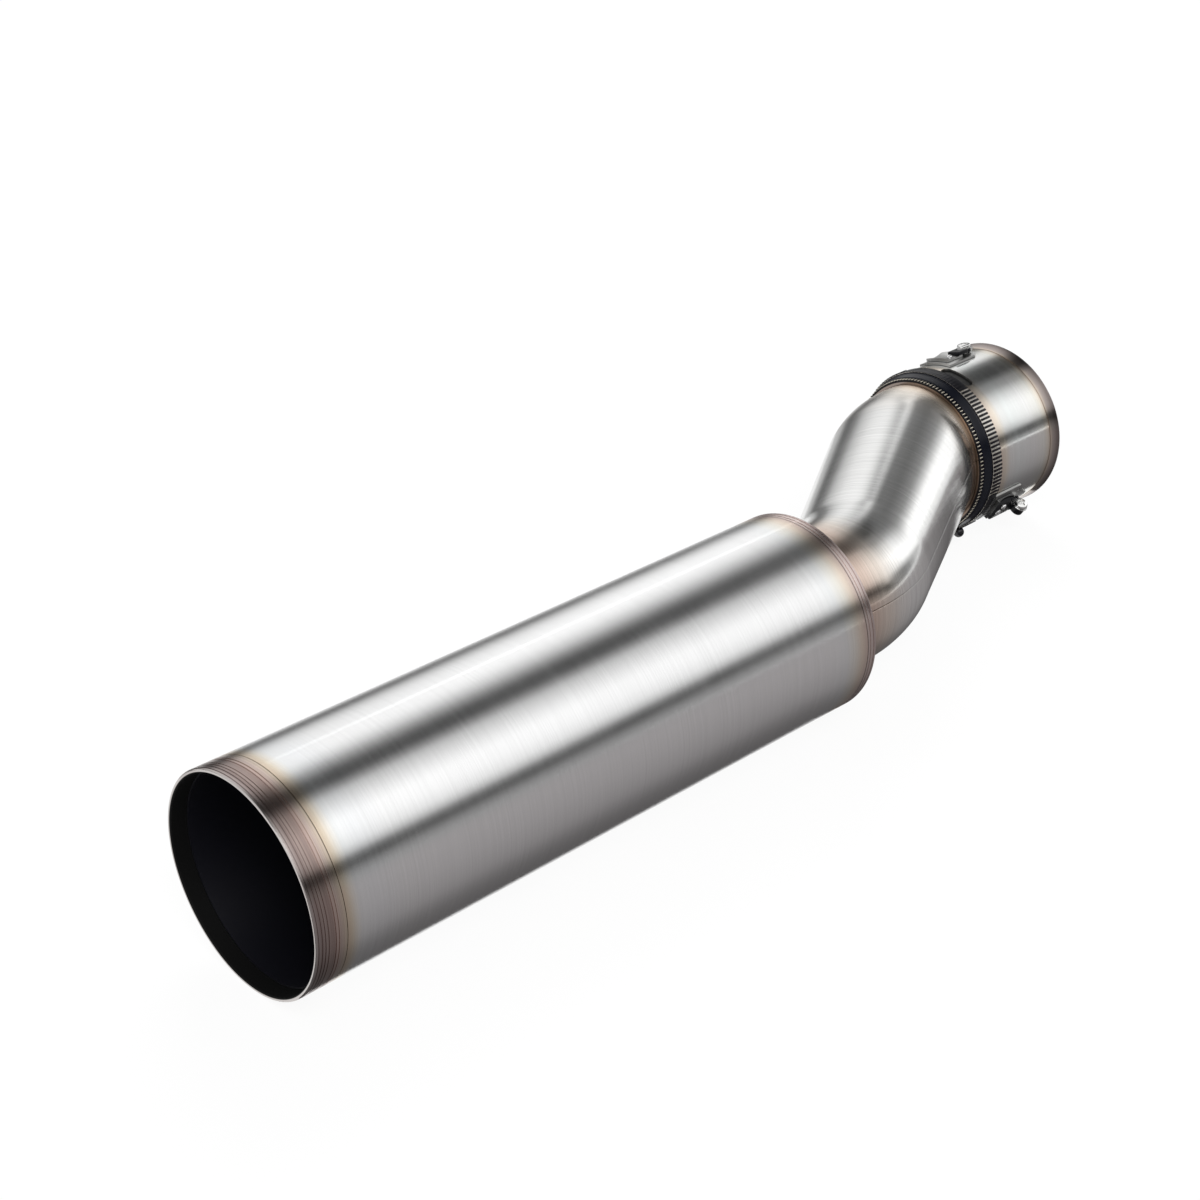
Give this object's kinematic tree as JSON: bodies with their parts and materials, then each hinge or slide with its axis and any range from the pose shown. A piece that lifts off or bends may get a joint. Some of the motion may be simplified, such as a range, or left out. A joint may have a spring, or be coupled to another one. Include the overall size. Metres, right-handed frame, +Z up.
{
  "type": "exhaust pipe",
  "caption": "Round brushed can on an offset pipe that ends in a slotted clamp collar with screw lugs, for the end of an exhaust line.",
  "frame": {"origin": "centre of the mouth of the inlet socket", "axes": "+X along the socket's axis, out of its mouth and away from the can; +Z up as the part lies on a floor; the can's axis lies parallel, beside it towards -Y"},
  "size_m": [0.5889, 0.1775, 0.102],
  "materials": {
    "tinted_ring_steel": "turned, heat-tinted brown",
    "brushed_can_steel": "brushed around the axis, warm tint at both ends",
    "black_liner": "sooty satin black",
    "tinted_cap_steel": "brushed, heat-tinted brown",
    "tinted_pipe_steel": "brushed, light tan tint at both ends",
    "brushed_collar_steel": "brushed, straw and purple tint at the lip",
    "black_ring": "glossy black with worn golden edges",
    "black_screw": "glossy black",
    "strap_steel": "satin",
    "bright_steel": "bright",
    "black_housing": "satin black",
    "zinc_steel": "bright zinc"
  },
  "bodies": {
    "root": {"outlet_ring": "tinted_ring_steel", "can_shell": "brushed_can_steel", "inner_liner": "black_liner", "end_cap": "tinted_cap_steel", "pipe_upper_half": "tinted_pipe_steel", "pipe_lower_half": "tinted_pipe_steel", "inlet_collar": "brushed_collar_steel", "front_toothed_ring": "black_ring", "clamp_band": "black_ring", "rear_ribbed_ring": "black_ring", "lock_screw": "black_screw", "upper_strap": "strap_steel", "upper_saddle": "bright_steel", "upper_housing": "black_housing", "upper_rivet": "bright_steel", "upper_screw": "zinc_steel", "upper_washer": "zinc_steel", "upper_nut": "zinc_steel", "lower_strap": "strap_steel", "lower_saddle": "bright_steel", "lower_housing": "black_housing", "lower_rivet": "bright_steel", "lower_screw": "zinc_steel", "lower_washer": "zinc_steel", "lower_nut": "zinc_steel"}
  },
  "joints": []
}
